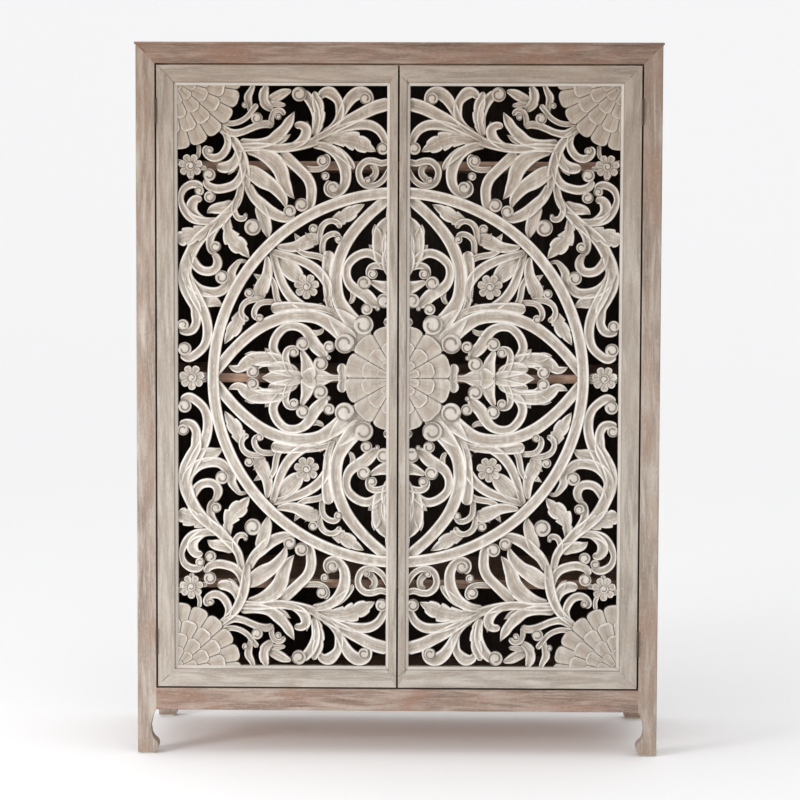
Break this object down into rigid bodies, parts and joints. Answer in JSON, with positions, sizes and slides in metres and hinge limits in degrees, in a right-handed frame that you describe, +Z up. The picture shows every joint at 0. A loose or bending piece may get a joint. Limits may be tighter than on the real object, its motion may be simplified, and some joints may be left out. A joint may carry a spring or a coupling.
{
  "type": "carved two-door cabinet",
  "caption": "Tall wooden cabinet on shaped legs with inset openwork carved doors on lift-off hinges and shelves inside.",
  "frame": {"origin": "on the floor, under the middle of the cabinet's bounding box", "axes": "+Z up, -Y the way the doors face, +X to the right for a person facing the doors"},
  "size_m": [1.004, 0.416, 1.365],
  "materials": {
    "carcass_wood": "limed mango wood, matt wax",
    "door_wood": "limed mango wood, matt wax",
    "carved_wood": "whitewashed carving, matt",
    "interior_wood": "dark brown stain, matt",
    "hinge_metal": "dark bronzed steel",
    "catch_plastic": "matt brown",
    "strike_steel": "plain steel",
    "glide_plastic": "matt"
  },
  "bodies": {
    "carcass": {"back_bottom_rail": "carcass_wood", "back_panel": "interior_wood", "back_post_left": "carcass_wood", "back_post_right": "carcass_wood", "back_top_rail": "carcass_wood", "bottom_board": "interior_wood", "door_stop": "interior_wood", "front_bottom_rail": "carcass_wood", "front_post_left": "carcass_wood", "front_post_right": "carcass_wood", "front_top_rail": "carcass_wood", "glide_back_left": "glide_plastic", "glide_back_right": "glide_plastic", "glide_front_left": "glide_plastic", "glide_front_right": "glide_plastic", "lower_hinge_frame_leaf_left": "hinge_metal", "lower_hinge_frame_leaf_right": "hinge_metal", "lower_hinge_pin_left": "hinge_metal", "lower_hinge_pin_right": "hinge_metal", "magnet_catch_left": "catch_plastic", "magnet_catch_right": "catch_plastic", "shelf_cleat_lower_left": "interior_wood", "shelf_cleat_lower_right": "interior_wood", "shelf_cleat_middle_left": "interior_wood", "shelf_cleat_middle_right": "interior_wood", "shelf_cleat_upper_left": "interior_wood", "shelf_cleat_upper_right": "interior_wood", "shelf_lower": "interior_wood", "shelf_middle": "interior_wood", "shelf_upper": "interior_wood", "side_bottom_rail_left": "carcass_wood", "side_bottom_rail_right": "carcass_wood", "side_panel_left": "carcass_wood", "side_panel_right": "carcass_wood", "side_top_rail_left": "carcass_wood", "side_top_rail_right": "carcass_wood", "top_board": "carcass_wood", "upper_hinge_frame_leaf_left": "hinge_metal", "upper_hinge_frame_leaf_right": "hinge_metal", "upper_hinge_pin_left": "hinge_metal", "upper_hinge_pin_right": "hinge_metal"},
    "left_door": {"left_door_bottom_rail": "door_wood", "left_door_carved_panel": "carved_wood", "left_door_hinge_stile": "door_wood", "left_door_meeting_stile": "door_wood", "left_door_top_rail": "door_wood", "lower_hinge_door_leaf_left": "hinge_metal", "strike_plate_left": "strike_steel", "upper_hinge_door_leaf_left": "hinge_metal"},
    "right_door": {"lower_hinge_door_leaf_right": "hinge_metal", "right_door_bottom_rail": "door_wood", "right_door_carved_panel": "carved_wood", "right_door_hinge_stile": "door_wood", "right_door_meeting_stile": "door_wood", "right_door_top_rail": "door_wood", "strike_plate_right": "strike_steel", "upper_hinge_door_leaf_right": "hinge_metal"}
  },
  "joints": [
    {"name": "left_door_hinge", "type": "hinge", "parent": "carcass", "child": "left_door", "pos_m": [-0.4622, -0.2056, 0.7274], "axis": [0, 0, -1], "range_deg": [0, 170]},
    {"name": "right_door_hinge", "type": "hinge", "parent": "carcass", "child": "right_door", "pos_m": [0.4622, -0.2056, 0.7274], "axis": [0, 0, 1], "range_deg": [0, 170]}
  ]
}
